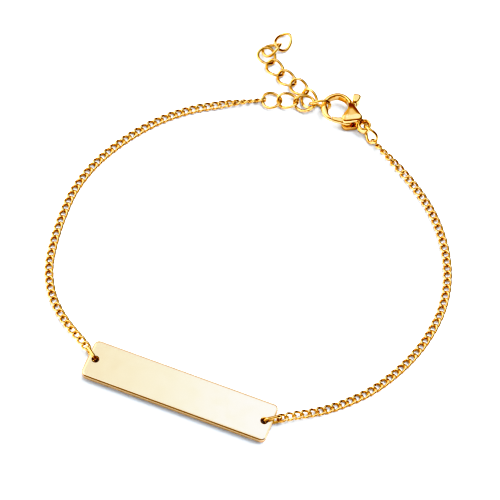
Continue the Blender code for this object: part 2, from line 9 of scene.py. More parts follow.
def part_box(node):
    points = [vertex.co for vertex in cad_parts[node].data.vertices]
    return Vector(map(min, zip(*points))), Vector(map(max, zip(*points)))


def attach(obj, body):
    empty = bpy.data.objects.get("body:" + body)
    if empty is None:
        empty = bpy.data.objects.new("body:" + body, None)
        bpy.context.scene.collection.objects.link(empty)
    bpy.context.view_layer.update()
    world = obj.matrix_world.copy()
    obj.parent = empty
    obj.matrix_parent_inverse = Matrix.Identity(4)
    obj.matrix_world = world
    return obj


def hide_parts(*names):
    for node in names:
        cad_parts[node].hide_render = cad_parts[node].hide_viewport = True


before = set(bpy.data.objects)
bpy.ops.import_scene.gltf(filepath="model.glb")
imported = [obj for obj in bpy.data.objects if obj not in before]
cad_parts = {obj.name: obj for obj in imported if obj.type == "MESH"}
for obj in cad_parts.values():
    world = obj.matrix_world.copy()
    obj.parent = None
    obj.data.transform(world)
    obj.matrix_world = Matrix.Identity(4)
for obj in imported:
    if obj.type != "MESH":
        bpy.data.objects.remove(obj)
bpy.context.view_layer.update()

# Sizes and lies of the part, in metres and degrees, as in its source.
BAR_LENGTH = 0.02995
BAR_WIDTH = 0.0063
BAR_THICKNESS = 0.0011
BAR_CORNER_RADIUS = 0.0008
BAR_HOLE_RADIUS = 0.00047
BAR_HOLE_INSET = 0.00122
BAR_X = -0.01063
BAR_Y = -0.02467
BAR_HEADING = -21.8
BAR_RING_LENGTH = 0.00305
BAR_RING_WIRE = 0.00046
BAR_RING_CORNER = 0.00075
BAR_RING_PLAY = 0.00013
LEFT_RING_HEADING = 122.0
RIGHT_RING_HEADING = 14.0
CHAIN_PITCH = 0.0012
CHAIN_LINK_WIDTH = 0.00144
CHAIN_WIRE = 0.00036
CHAIN_TWIST = 0.00022
CHAIN_SEAM = 0.00004
CHAIN_RISE = 0.008
EXTENDER_END_ROLL = -63.0
CLASP_END_ROLL = -60.0
HOOK_PLAY = 0.00018
LINK_LENGTH = 0.00368
LINK_WIDTH = 0.0029
LINK_WIRE = 0.00046
LINK_TWIST = 0.00032
ROUND_LINK_LENGTH = 0.00342
ROUND_LINK_WIDTH = 0.0033
ROUND_LINK_TWIST = 0.0002
CLASP_LINK_LENGTH = 0.0034
CLASP_X = 0.0138
CLASP_Y = 0.02455
CLASP_HEADING = -38.0
CLASP_HEIGHT = 0.0031
CLAW_RADIUS = 0.0026
CLAW_HEIGHT = 0.0018
EYE_DISTANCE = 0.0054
EYE_RADIUS = 0.00112
EYE_HOLE_RADIUS = 0.00056
EYE_HEIGHT = 0.0014
EYE_PLAY = 0.0002
PIVOT_X = 0.0028
PIVOT_Y = -0.0001
PIVOT_RADIUS = 0.0003
HUB_RADIUS = 0.0007
LEVER_THICKNESS = 0.0008
LEVER_PLAY = 0.0001
LEVER_OPENING = 25.0
KNOB_X = 0.0014
KNOB_Y = 0.0033
KNOB_WIDTH = 0.00125
KNOB_DEPTH = 0.0012
KNOB_HEIGHT = 0.0016
CHAIN_SEGMENTS = 10
LINK_SEGMENTS = 16
WIRE_FLAT = math.cos(math.pi / 5)

LEFT_ROUTE = (
    (-0.0282, -0.0126), (-0.0303, -0.0083), (-0.0310, -0.0036), (-0.0304, 0.0012),
    (-0.0292, 0.0058), (-0.0275, 0.0103), (-0.0249, 0.0144), (-0.0216, 0.0179),
    (-0.0178, 0.0209), (-0.0137, 0.0233), (-0.0092, 0.0250), (-0.0045, 0.0259),
)
RIGHT_ROUTE = (
    (0.0237, 0.0139), (0.0262, 0.0103), (0.0283, 0.0064), (0.0297, 0.0022),
    (0.0304, -0.0021), (0.0303, -0.0065), (0.0293, -0.0108), (0.0274, -0.0148),
    (0.0249, -0.0184), (0.0218, -0.0216), (0.0183, -0.0243), (0.0144, -0.0263),
    (0.0102, -0.0278),
)
HOOK_ANGLE = 196.0
HOOK_REACH = 0.485
HOOK_LINK_LIE = (-15.0, 14.0, -76.0)
EXTENDER_LIE = (
    ("extender_link_2", "extender_link_3", -0.68, 0.08, 0.15, -9.0, 8.0, 26.0),
    ("extender_link_1", "extender_link_2", -0.71, 0.18, 0.24, -9.0, 5.0, 6.0),
    ("extender_ring_1", "extender_link_1", -0.69, 0.06, 0.11, 0.0, 0.0, -5.0),
    ("extender_link_4", "extender_link_3", -0.49, 0.35, 0.07, 111.0, 4.0, -27.0),
    ("extender_link_5", "extender_link_4", -0.40, 0.60, 0.22, 135.0, 2.0, 0.0),
    ("extender_link_6", "extender_link_5", -0.54, 0.45, 0.13, 137.0, 0.0, 2.0),
    ("extender_link_7", "extender_link_6", -0.50, 0.52, 0.09, 127.0, 0.0, 3.0),
    ("extender_ring_2", "extender_link_7", -0.36, 0.59, 0.22, 120.0, 10.0, 10.0),
    ("extender_link_8", "extender_ring_2", 0.24, 0.34, 0.37, 26.0, 13.0, -30.0),
    ("end_link", "extender_link_8", 0.48, 0.43, 0.30, 68.0, 0.0, 0.0),
)
CLASP_LINK_HEADING = -57.0
CLASP_LINK_PITCH = -19.0
CLASP_LINK_ROLL = 77.0
# The last row reaches a few degrees further round than the source's.
CLAW_SECTIONS = (
    (50.0, 50.0, 0.69, 1.00, 1.00),
    (75.0, 75.0, 0.70, 1.00, 0.98),
    (100.0, 100.0, 0.70, 1.00, 0.95),
    (125.0, 125.0, 0.70, 1.00, 0.90),
    (150.0, 150.0, 0.69, 1.00, 0.80),
    (175.0, 175.0, 0.69, 1.00, 0.70),
    (197.0, 197.0, 0.665, 1.00, 0.61),
    (217.0, 217.0, 0.60, 1.00, 0.58),
    (236.0, 236.0, 0.565, 0.99, 0.57),
    (253.0, 253.0, 0.65, 0.98, 0.56),
    (269.0, 263.0, 0.71, 0.97, 0.56),
    (287.0, 276.0, 0.74, 0.96, 0.56),
)
LOWER_ROUNDS = ((1.04, -0.44, 0.29), (1.40, -0.10, 0.29), (0.64, 0.58, 0.25))
UPPER_ROUNDS = ((0.83, -0.29, 0.24), (1.35, 0.15, 0.24), (0.64, 0.58, 0.25))
LEVER_OUTER = ((0.285, -0.905), (0.54, -0.815), (0.88, -0.675), (1.14, -0.60), (1.33, -0.42))
LEVER_INNER = ((0.84, -0.19), (0.68, -0.33), (0.46, -0.52), (0.09, -0.69))

OVAL_LINK = (LINK_LENGTH, LINK_WIDTH, LINK_WIRE, LINK_TWIST, LINK_SEGMENTS)
ROUND_LINK = (ROUND_LINK_LENGTH, ROUND_LINK_WIDTH, LINK_WIRE, ROUND_LINK_TWIST, LINK_SEGMENTS)
CLASP_LINK = (CLASP_LINK_LENGTH, LINK_WIDTH, LINK_WIRE, LINK_TWIST, LINK_SEGMENTS)

# Finer forms that only the looks have. The links' wire has these steps along and round it,
# is a little fuller across, and is ground flat at a share of the link's half height.
LINK_STEPS = (56, 16)
LINK_FLATS = 0.86
CHAIN_STEPS = (28, 12)
CHAIN_FLATS = 0.80
WIRE_FULLNESS = 1.03
BAR_RING_SIDES = 14

# The bar's top rolls off to a chamfer, which has a share of its own width at each end.
BAR_CHAMFER = 0.00011
BAR_ROLL = 0.00017
BAR_ROLL_DROP = 0.000035
LEFT_END_SHARE = 1.5
RIGHT_END_SHARE = 0.7
BAR_SHARP = 25.0

# The clasp's shells: circles in claw radii, and rows as shares of the half height and of
# the outline. The dome overhangs the slot, and its crest is near its front.
LOWER_SHELL = ((-1.0, 0.78), (-0.97, 0.88), (-0.90, 0.95), (-0.80, 0.99), (-0.70, 1.0),
               (-0.35, 1.0), (-0.30, 0.99))
UPPER_SHELL = ((-0.4, 0.97), (0.4, 0.97))
DOME_ROUNDS = ((0.97, -0.44, 0.22), (1.55, 0.13, 0.22), (0.64, 0.52, 0.22))
DOME_TURNS = (0, 4, 10, 18, 28, 38, 48, 58, 68, 77, 84, 88)
DOME_SQUARENESS = 0.28
DOME_OVERHANG = 0.00006
DOME_SKIRT = 0.00005
DOME_RISE = 0.87
DOME_FRONT = -50.0
DOME_CREST = 0.7
DOME_BACK_FALL = 0.44
DOME_FRONT_FALL = 0.30

# Sections of a wall, as shares outwards and up. The claw's wall goes from 0 inside to 1
# outside, and the eye's from -1 to 1.
CLAW_PROFILE = ((0.0, -0.6), (0.0, 0.0), (0.0, 0.6), (0.22, 1.0), (0.62, 1.0), (0.93, 0.62),
                (1.0, 0.0), (0.93, -0.62), (0.62, -1.0), (0.22, -1.0))
EYE_PROFILE = ((1.0, -0.5), (1.0, 0.5), (0.5, 1.0), (-0.3, 0.97),
               (-1.0, 0.4), (-1.0, -0.4), (-0.3, -0.97), (0.5, -1.0))
EYE_STEPS = 56
CAST_SHARP = 40.0

# The claw's clear opening and the slot's reach in claw radii, the slot's room inside the
# gate in hub radii, the neck's half size as shares of the eye's radius and height, and the
# pin's half height as a share of the clasp's.
CLAW_OPENING = 0.69
SLOT_REACH = 1.1
GATE_ROOM = 0.4
NECK_WIDTH = 0.42
NECK_HEIGHT = 0.38
PIN_HEIGHT = 0.35

# Pocket in the claw's inner wall, from the body to over the claw's middle.
RECESS_HEADINGS = range(72, 121, 4)
RECESS_RADII = (0.55, 0.84)
RECESS_LOW = -0.00042
RECESS_HIGH = 0.00050

# The lever's arm and knob, as shares of the knob's width or depth. The knob's rows are
# shares of its half height and of its outline.
ARM_SHARE = 0.3
KNOB_ROWS = ((-1.0, 0.70), (-0.9, 0.86), (-0.7, 0.96), (0.0, 1.0), (0.7, 0.96), (0.9, 0.86),
             (1.0, 0.70))
KNOB_LENGTH_SHARE = 1.4
KNOB_CORNER_SHARE = 0.42
KNOB_FAN = 0.35
KNOB_BACK_SHARE = 0.18

# The finish: features per metre, and the depth of the dents.
PLATING_CLOUDS = 420.0
HAZE = 900.0
POLISHING_LINES = (300.0, 9000.0, 3000.0)
DENTS = 2600.0
DENT_DEPTH = 0.00003

# The floor. Reflections see it with a darker, warmer painted shade, a painted contact
# shadow of the gold. The shade's share falls with distance, from the near to the far pair
# of distance and share.
FLOOR_HALF = 1.5
FLOOR_DROP = 0.00001
FLOOR_CLOUDS = 60.0
FLOOR_COLOURS = ((0.75, 0.85, 0.98), (0.77, 0.87, 0.99))
FLOOR_PAINTED_SHADE = (0.42, 0.17, 0.05)
SHADE_NEAR = (0.0006, 0.55)
SHADE_FAR = (0.0020, 0.14)

# The surroundings. The roof box is set for red, green and blue: it begins and is full at
# these heights, red first, so its rim is warm. Its right part is brighter and cooler.
ROOF_BEGINS = (0.47, 0.50, 0.54)
ROOF_FULL = (0.89, 0.92, 0.97)
ROOF_LEFT = (0.65, 0.85, 0.96)
ROOF_RIGHT = (0.74, 1.03, 1.45)
ROOF_TURN = (-0.07, 0.02)
ROOF_LEAN_X = -0.20
ROOF_LEAN_FRONT = 0.27
# Soft steps: from, to, and the level before and after.
LEFT_SOURCE = (-0.85, 0.25, 0.42)
LEFT_COLOUR = (1.0, 0.99, 0.96)
LEFT_STEP = (0.55, 0.92, 0.0, 0.9)
ROOM_COLOUR = (0.32, 0.14, 0.02)
ROOM_STEP = (0.80, 0.25, 0.14, 1.0)
# Suns for the floor: name, strength, width in degrees, and where each comes from.
SUNS = (("key", 4.05, 58.0, (0.46, 0.30, 0.84)), ("fill", 0.78, 12.0, (0.0, -0.466, 0.885)))

# Tone curves by Blender's index: all channels, green and blue.
TONE_CURVES = (
    (3, ((0.12, 0.03), (0.25, 0.12), (0.40, 0.25), (0.57, 0.44), (0.75, 0.70), (0.90, 0.94))),
    (1, ((0.06, 0.033), (0.14, 0.085), (0.25, 0.215), (0.40, 0.39), (0.75, 0.75))),
    (2, ((0.115, 0.05), (0.24, 0.17), (0.335, 0.30), (0.47, 0.48), (0.75, 0.76))),
)

# The photograph's camera.
CAMERA_ELEVATION = 62.2
CAMERA_DISTANCE = 0.45725
CAMERA_LENS = 212.4
CAMERA_SENSOR = 36.0
CAMERA_CLIP = 0.01

MM = 0.001


# Lie of the pieces

def direction(heading):
    """Level direction at an angle from +X, in degrees."""
    angle = math.radians(heading)
    return Vector((math.cos(angle), math.sin(angle), 0.0))


def lie_matrix(position, heading, pitch, roll):
    """Place from a heading in plan, a pitch that lifts the front, and a roll."""
    turn = Euler((math.radians(roll), -math.radians(pitch), math.radians(heading)), "XYZ")
    return Matrix.Translation(position) @ turn.to_matrix().to_4x4()


def curb_centreline(length, width, wire, twist, segments):
    """Middle of the wire in a link of the solids, with flats at its two ends."""
    half_length = (length - wire) / 2 / math.cos(math.pi / segments)
    half_width = (width - wire) / 2
    points = []
    for i in range(segments):
        turn = math.tau * (i + 0.5) / segments
        points.append(Vector((half_length * math.cos(turn), half_width * math.sin(turn),
                              -twist * math.sin(2 * turn))))
    return points


def resting_height(link, turn):
    """Height of a link's middle when its lowest point is on the table."""
    return link[2] / 2 - min((turn @ point).z for point in curb_centreline(*link))


def spline_point(before, start, stop, after, t):
    """Point on a Catmull-Rom curve, at a share of the way from start to stop."""
    return 0.5 * (2 * start + (stop - before) * t
                  + (2 * before - 5 * start + 4 * stop - after) * t * t
                  + (3 * start - before - 3 * stop + after) * t * t * t)


def smooth_route(points, steps=12):
    """Points along an open curve through the route's own points."""
    ends = [points[0] * 2 - points[1], *points, points[-1] * 2 - points[-2]]
    route = []
    for before, start, stop, after in zip(ends, ends[1:], ends[2:], ends[3:]):
        route += [spline_point(before, start, stop, after, i / steps) for i in range(steps)]
    return [*route, points[-1]]


def walk(route, distance):
    """Point at a distance along the route."""
    for start, stop in zip(route, route[1:]):
        step = (stop - start).length
        if distance <= step:
            return start.lerp(stop, distance / step)
        distance -= step
    return route[-1]


def ease(share):
    """Soft step from 0 to 1."""
    share = min(max(share, 0.0), 1.0)
    return share * share * (3 - 2 * share)


def chain_link():
    """Sizes of a fine link. At the chain's pitch its wire meets its neighbours' wires."""
    length = CHAIN_PITCH + CHAIN_WIRE * (1 + WIRE_FLAT) + CHAIN_SEAM
    return length, CHAIN_LINK_WIDTH, CHAIN_WIRE, CHAIN_TWIST, CHAIN_SEGMENTS


def chain_lies(start, stop, start_roll, stop_roll, plan):
    """Place of each fine link between two end links, resting on the table between them."""
    link = chain_link()
    rest = resting_height(link, Matrix())
    route = smooth_route([start.to_2d(), *[Vector(point) for point in plan], stop.to_2d()])
    length = sum((b - a).length for a, b in zip(route, route[1:]))
    gaps = round(length / CHAIN_PITCH)
    centres = []
    rolls = []
    for i in range(gaps + 1):
        distance = length * i / gaps
        near_start = 1 - ease(distance / CHAIN_RISE)
        near_stop = 1 - ease((length - distance) / CHAIN_RISE)
        roll = start_roll * near_start + stop_roll * near_stop
        lift = (start.z - rest) * near_start + (stop.z - rest) * near_stop
        floor = resting_height(link, lie_matrix(Vector(), 0.0, 0.0, roll))
        centres.append(Vector((*walk(route, distance), max(rest + lift, floor))))
        rolls.append(roll)
    lies = []
    for i, (centre, roll) in enumerate(zip(centres, rolls)):
        run = centres[min(i + 1, gaps)] - centres[max(i - 1, 0)]
        heading = math.degrees(math.atan2(run.y, run.x))
        pitch = math.degrees(math.atan2(run.z, run.to_2d().length))
        lies.append(lie_matrix(centre, heading, pitch, roll))
    return lies


def bar_matrix():
    """Place of the bar, which lies on its rings."""
    height = BAR_RING_WIRE + BAR_RING_PLAY + BAR_THICKNESS / 2
    return lie_matrix(Vector((BAR_X, BAR_Y, height)), BAR_HEADING, 0.0, 0.0)


def hole_middle(side):
    """Middle of the bar's hole at its left, -1, or its right, 1."""
    return bar_matrix() @ Vector((side * (BAR_LENGTH / 2 - BAR_HOLE_INSET), 0.0, 0.0))


def end_seat(wire):
    """Distance from the middle of a held wire to the middle of the chain's end link."""
    return (chain_link()[0] - CHAIN_WIRE - (CHAIN_WIRE + wire) * WIRE_FLAT) / 2 - HOOK_PLAY


def bar_end(side, heading):
    """Middle of the chain's end link that hangs on the bar's ring."""
    reach = BAR_RING_LENGTH - BAR_RING_WIRE + end_seat(BAR_RING_WIRE)
    return hole_middle(side) + direction(heading) * reach


def clasp_matrix():
    """Place of the clasp, from its claw's middle towards its eye."""
    return lie_matrix(Vector((CLASP_X, CLASP_Y, CLASP_HEIGHT / 2)), CLASP_HEADING, 0.0, 0.0)


def clasp_link_place():
    """Place of the link in the clasp's eye, resting on the table."""
    eye = clasp_matrix() @ Vector((EYE_DISTANCE, 0.0, 0.0))
    seat = EYE_HOLE_RADIUS - LINK_WIRE / 2 - EYE_PLAY
    half = (CLASP_LINK_LENGTH - LINK_WIRE) / 2
    turn = lie_matrix(Vector(), CLASP_LINK_HEADING, CLASP_LINK_PITCH, CLASP_LINK_ROLL)
    middle = eye + direction(CLASP_LINK_HEADING) * seat + turn @ Vector((half, 0.0, 0.0))
    middle.z = resting_height(CLASP_LINK, turn)
    return Matrix.Translation(middle) @ turn


def clasp_link_end():
    """Middle of the right chain's end link, on the clasp link."""
    reach = (CLASP_LINK_LENGTH - LINK_WIRE) / 2 + end_seat(LINK_WIRE)
    return clasp_link_place() @ Vector((reach, 0.0, 0.0))


def extender_form(name):
    """Sizes of a link of the extender, round or oval."""
    return ROUND_LINK if "ring" in name else OVAL_LINK


def extender_places():
    """Places of the extender's links, from the one in the claw outwards."""
    turn = lie_matrix(Vector(), *HOOK_LINK_LIE)
    front = clasp_matrix() @ (direction(HOOK_ANGLE) * CLAW_RADIUS * HOOK_REACH)
    middle = front - turn @ Vector(((LINK_LENGTH - LINK_WIRE) / 2, 0.0, 0.0))
    middle.z = resting_height(OVAL_LINK, turn)
    places = {"extender_link_3": Matrix.Translation(middle) @ turn}
    for name, holder, x, y, lift, *angles in EXTENDER_LIE:
        turn = lie_matrix(Vector(), *angles)
        middle = places[holder].translation + Vector((x, y, 0.0)) * LINK_LENGTH
        middle.z = resting_height(extender_form(name), turn) + lift * LINK_WIRE
        places[name] = Matrix.Translation(middle) @ turn
    return places


def extender_start():
    """Middle of the left chain's end link, on the extender's first ring."""
    reach = (ROUND_LINK_LENGTH - LINK_WIRE) / 2 + end_seat(LINK_WIRE)
    return extender_places()["extender_ring_1"] @ Vector((-reach, 0.0, 0.0))


def frame_shift():
    """From the loop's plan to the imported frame, read off the bar."""
    low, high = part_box("bar")
    return Matrix.Translation((low + high) / 2 - bar_matrix().translation)


SHIFT = frame_shift()


# Meshes

def loft(form, sections, closed=False):
    """Skin over sections with equal numbers of points, closed on itself or with end caps."""
    rings = [[form.verts.new(point) for point in section] for section in sections]
    count = len(rings[0])
    spans = list(zip(rings, rings[1:]))
    if closed:
        spans.append((rings[-1], rings[0]))
    for low, high in spans:
        for i in range(count):
            j = (i + 1) % count
            form.faces.new((low[i], low[j], high[j], high[i]))
    if not closed:
        form.faces.new(rings[0])
        form.faces.new(rings[-1])


def shade(mesh, sharp):
    """Smooth shading, with edges above an angle kept sharp."""
    mesh.shade_smooth()
    mesh.set_sharp_from_angle(angle=math.radians(sharp))


def to_mesh(form, sharp=30.0):
    """Shaded mesh of a finished form."""
    bmesh.ops.recalc_face_normals(form, faces=form.faces)
    mesh = bpy.data.meshes.new("form")
    form.to_mesh(mesh)
    form.free()
    shade(mesh, sharp)
    return mesh


def add_object(name, data):
    """New object, linked to the scene."""
    thing = bpy.data.objects.new(name, data)
    bpy.context.scene.collection.objects.link(thing)
    return thing


def closed_curve(points, steps):
    """Curve through points that close on themselves."""
    count = len(points)
    curve = []
    for i in range(count):
        span = [points[(i + k) % count] for k in (-1, 0, 1, 2)]
        curve += [spline_point(*span, k / steps) for k in range(steps)]
    return curve


def wire_ring(form, centreline, across, high, sides, place, ground=None):
    """A closed wire of oval section. Its high sides can be ground flat at a height."""
    middle = sum(centreline, Vector()) / len(centreline)
    count = len(centreline)
    sections = []
    for i, point in enumerate(centreline):
        run = (centreline[(i + 1) % count] - centreline[i - 1]).normalized()
        outward = point - middle
        outward = (outward - run * outward.dot(run)).normalized()
        up = run.cross(outward)
        ring = []
        for k in range(sides):
            angle = math.tau * (k + 0.5) / sides
            spot = point + outward * math.cos(angle) * across + up * math.sin(angle) * high
            if ground:
                spot.z = max(min(spot.z, ground), -ground)
            ring.append(place @ spot)
        sections.append(ring)
    loft(form, sections, closed=True)


def curb_link(form, place, link, flats, steps):
    """An oval link of drawn wire, twisted and ground flat on its high sides."""
    length, width, wire, twist, _ = link
    segments, sides = steps
    centreline = []
    for i in range(segments):
        turn = math.tau * i / segments
        centreline.append(Vector(((length - wire) / 2 * math.cos(turn),
                                  (width - wire) / 2 * math.sin(turn),
                                  -twist * math.sin(2 * turn))))
    wire_ring(form, centreline, wire / 2 * WIRE_FULLNESS, wire / 2, sides, SHIFT @ place,
              (twist + wire / 2) * flats)


def rounded_rectangle(length, width, radius, steps):
    """Outline about the origin, anticlockwise, with steps round each corner."""
    outline = []
    for side_x, side_y, first in ((1, 1, 0), (-1, 1, 90), (-1, -1, 180), (1, -1, 270)):
        x = side_x * (length / 2 - radius)
        y = side_y * (width / 2 - radius)
        for i in range(steps + 1):
            angle = math.radians(first + 90 * i / steps)
            outline.append((x + radius * math.cos(angle), y + radius * math.sin(angle)))
    return outline


def hull_outline(rounds, steps):
    """Outline round a ring of circles, given anticlockwise, with tangent sides."""
    tangents = []
    for (x0, y0, r0), (x1, y1, r1) in zip(rounds, rounds[1:] + rounds[:1]):
        run = Vector((x1 - x0, y1 - y0))
        lean = math.asin((r0 - r1) / run.length)
        tangents.append(math.atan2(run.y, run.x) - math.pi / 2 + lean)
    outline = []
    for i, (x, y, radius) in enumerate(rounds):
        first = tangents[i - 1]
        sweep = (tangents[i] - first) % math.tau
        for k in range(steps + 1):
            angle = first + sweep * k / steps
            outline.append((x + radius * math.cos(angle), y + radius * math.sin(angle)))
    return outline


def round_points(x, y, radius, count):
    return [(x + radius * math.cos(math.tau * i / count),
             y + radius * math.sin(math.tau * i / count)) for i in range(count)]


def prism(form, outline, low, high):
    """Straight block with an outline, between two heights."""
    loft(form, [[Vector((x, y, z)) for x, y in outline] for z in (low, high)])


def worked(mesh, steps):
    """The mesh after modifiers. Each step is a modifier's type and its values."""
    helper = add_object("work", mesh)
    cutters = []
    for kind, values in steps:
        modifier = helper.modifiers.new(kind, kind)
        for key, value in values.items():
            if key == "object":
                value = add_object("cutter", value)
                cutters.append(value)
            setattr(modifier, key, value)
    graph = bpy.context.evaluated_depsgraph_get()
    result = bpy.data.meshes.new_from_object(helper.evaluated_get(graph))
    for old in (helper, *cutters):
        bpy.data.objects.remove(old)
    return result


def cut(mesh, cutter):
    """The mesh with another taken out of it."""
    return worked(mesh, [("BOOLEAN", {"operation": "DIFFERENCE", "solver": "EXACT",
                                      "object": cutter})])


def cast(form, voxel, smoothing, cutters=(), bevel=0.0):
    """One seamless cast body from closed forms in metres, then cut. Worked on in mm."""
    bmesh.ops.recalc_face_normals(form, faces=form.faces)
    bmesh.ops.scale(form, vec=(1 / MM,) * 3, verts=form.verts)
    rough = bpy.data.meshes.new("rough")
    form.to_mesh(rough)
    form.free()
    steps = [("REMESH", {"mode": "VOXEL", "voxel_size": voxel}),
             ("SMOOTH", {"factor": 0.5, "iterations": smoothing}),
             ("DECIMATE", {"ratio": 0.5})]
    if bevel:
        steps.insert(0, ("BEVEL", {"width": bevel, "segments": 1,
                                   "angle_limit": math.radians(50.0)}))
    mesh = worked(rough, steps)
    for cutter in cutters:
        cutter.transform(Matrix.Scale(1 / MM, 4))
        mesh = cut(mesh, cutter)
    mesh.transform(Matrix.Scale(MM, 4))
    shade(mesh, CAST_SHARP)
    return mesh


# Materials

class Graph:
    """Short names for shader nodes."""

    def __init__(self, tree):
        self.tree = tree
        self.nodes = tree.nodes

    def new(self, kind, **values):
        node = self.nodes.new(kind)
        for key, value in values.items():
            setattr(node, key, value)
        return node

    def put(self, socket, value):
        """Link a node's output to the socket, or set the socket's own value."""
        if isinstance(value, bpy.types.NodeSocket):
            self.tree.links.new(value, socket)
        else:
            socket.default_value = value

    def math(self, operation, *values):
        node = self.new("ShaderNodeMath", operation=operation)
        for socket, value in zip(node.inputs, values):
            self.put(socket, value)
        return node.outputs[0]

    def smooth(self, value, low, high, to_low=0.0, to_high=1.0):
        """Soft step from to_low at low to to_high at high, which can be below low."""
        node = self.new("ShaderNodeMapRange", interpolation_type="SMOOTHSTEP")
        for socket, number in zip(node.inputs, (value, low, high, to_low, to_high)):
            self.put(socket, number)
        return node.outputs[0]

    def times(self, *values):
        result = values[0]
        for value in values[1:]:
            result = self.math("MULTIPLY", result, value)
        return result

    def tint(self, colour, factor):
        """A colour times a number."""
        node = self.new("ShaderNodeVectorMath", operation="SCALE")
        self.put(node.inputs[0], colour)
        self.put(node.inputs["Scale"], factor)
        return node.outputs[0]

    def add(self, *values):
        """Sum of colours."""
        result = values[0]
        for value in values[1:]:
            node = self.new("ShaderNodeVectorMath", operation="ADD")
            self.put(node.inputs[0], result)
            self.put(node.inputs[1], value)
            result = node.outputs[0]
        return result

    def mix(self, factor, first, second):
        node = self.new("ShaderNodeMix", data_type="RGBA")
        self.put(node.inputs["Factor"], factor)
        self.put(node.inputs["A"], (*first, 1.0) if isinstance(first, tuple) else first)
        self.put(node.inputs["B"], (*second, 1.0) if isinstance(second, tuple) else second)
        return node.outputs["Result"]

    def noise(self, vector, scale, detail=3.0, rough=0.5):
        node = self.new("ShaderNodeTexNoise")
        self.put(node.inputs["Vector"], vector)
        node.inputs["Scale"].default_value = scale
        node.inputs["Detail"].default_value = detail
        node.inputs["Roughness"].default_value = rough
        return node.outputs["Fac"]

    def stretched(self, vector, turn, scale):
        """A vector turned about Z by degrees and scaled along each axis."""
        node = self.new("ShaderNodeMapping")
        self.put(node.inputs["Vector"], vector)
        node.inputs["Rotation"].default_value = (0.0, 0.0, math.radians(turn))
        node.inputs["Scale"].default_value = scale
        return node.outputs["Vector"]


def gold(name, plain, warm, worn, roughness, spread, lines, dents, turn=0.0, painted_side_shade=None):
    """Polished plate: uneven plating, paler worn edges, polishing lines and small dents.

    With a painted side shade, faces that aren't level take it as painted shade, apart
    from the left end's, which keep the plain colour.
    """
    material = bpy.data.materials.new(name)
    material.use_nodes = True
    graph = Graph(material.node_tree)
    shader = material.node_tree.nodes["Principled BSDF"]
    shader.inputs["Metallic"].default_value = 1.0
    coordinates = graph.new("ShaderNodeTexCoord").outputs
    place = coordinates["Object"]
    clouds = graph.noise(place, PLATING_CLOUDS)
    colour = graph.mix(graph.smooth(clouds, 0.35, 0.68), plain, warm)
    edge = graph.new("ShaderNodeNewGeometry").outputs["Pointiness"]
    colour = graph.mix(graph.smooth(edge, 0.52, 0.62, 0.0, 0.55), colour, worn)
    # Painted shade: faces that aren't level get a darker, richer gold than the level faces and
    # the left end.
    if painted_side_shade:
        facing = graph.new("ShaderNodeSeparateXYZ")
        graph.put(facing.inputs[0], coordinates["Normal"])
        level = graph.smooth(graph.math("ABSOLUTE", facing.outputs["Z"]), 0.90, 0.995)
        lit_left_end = graph.smooth(facing.outputs["X"], -0.45, -0.62)
        colour = graph.mix(graph.math("MAXIMUM", level, lit_left_end), painted_side_shade, colour)
    graph.put(shader.inputs["Base Color"], colour)
    swirl = graph.noise(graph.stretched(place, turn, POLISHING_LINES), 1.0, 4.0, 0.6)
    haze = graph.noise(place, HAZE, 4.0)
    rough = graph.math("ADD", graph.smooth(haze, 0.3, 0.7, roughness, roughness + spread),
                       graph.smooth(swirl, 0.55, 0.8, 0.0, lines))
    graph.put(shader.inputs["Roughness"], rough)
    bump = graph.new("ShaderNodeBump")
    bump.inputs["Strength"].default_value = dents
    bump.inputs["Distance"].default_value = DENT_DEPTH
    graph.put(bump.inputs["Height"], graph.math("ADD", graph.noise(place, DENTS, 2.0),
                                                graph.times(swirl, 0.25)))
    graph.put(shader.inputs["Normal"], bump.outputs["Normal"])
    return material


LINK_GOLD = gold("link_gold", plain=(0.97, 0.77, 0.42), warm=(0.96, 0.72, 0.35),
                 worn=(1.0, 0.85, 0.56), roughness=0.07, spread=0.05, lines=0.05, dents=0.06)
CLASP_GOLD = gold("clasp_gold", plain=(0.96, 0.75, 0.41), warm=(0.95, 0.71, 0.36),
                  worn=(1.0, 0.84, 0.54), roughness=0.06, spread=0.04, lines=0.04, dents=0.04,
                  turn=CLASP_HEADING)
# The bar's gold is paler than the links' as a painted highlight on its flat top and left end;
# its other faces take painted side shade.
BAR_GOLD_PAINTED_LIGHT = gold("bar_gold_painted_light", plain=(0.92, 0.81, 0.65), warm=(0.91, 0.80, 0.63),
                worn=(0.96, 0.83, 0.66), roughness=0.09, spread=0.03, lines=0.03, dents=0.008,
                turn=BAR_HEADING, painted_side_shade=(0.80, 0.65, 0.40))


def add_piece(name, mesh, material, node, body="bracelet"):
    """Piece that takes the place of a node."""
    mesh.name = name
    mesh.materials.clear()
    mesh.materials.append(material)
    piece = add_object(name, mesh)
    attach(piece, body)
    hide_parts(node)


# Pieces

def add_links():
    """The extender's loose links and the clasp link, each its own piece."""
    links = [(name, place, extender_form(name)) for name, place in extender_places().items()]
    for name, place, link in (*links, ("clasp_link", clasp_link_place(), CLASP_LINK)):
        form = bmesh.new()
        curb_link(form, place, link, LINK_FLATS, LINK_STEPS)
        add_piece(name + "_wire", to_mesh(form), LINK_GOLD, name)


def add_chains():
    """Each chain as one piece of wire links, between the links or rings that hold it."""
    left = (bar_end(-1, LEFT_RING_HEADING), extender_start(), 0.0, EXTENDER_END_ROLL, LEFT_ROUTE)
    right = (clasp_link_end(), bar_end(1, RIGHT_RING_HEADING), CLASP_END_ROLL, 0.0, RIGHT_ROUTE)
    for name, ends in (("chain_left", left), ("chain_right", right)):
        form = bmesh.new()
        for lie in chain_lies(*ends):
            curb_link(form, lie, chain_link(), CHAIN_FLATS, CHAIN_STEPS)
        add_piece(name + "_links", to_mesh(form), LINK_GOLD, name)


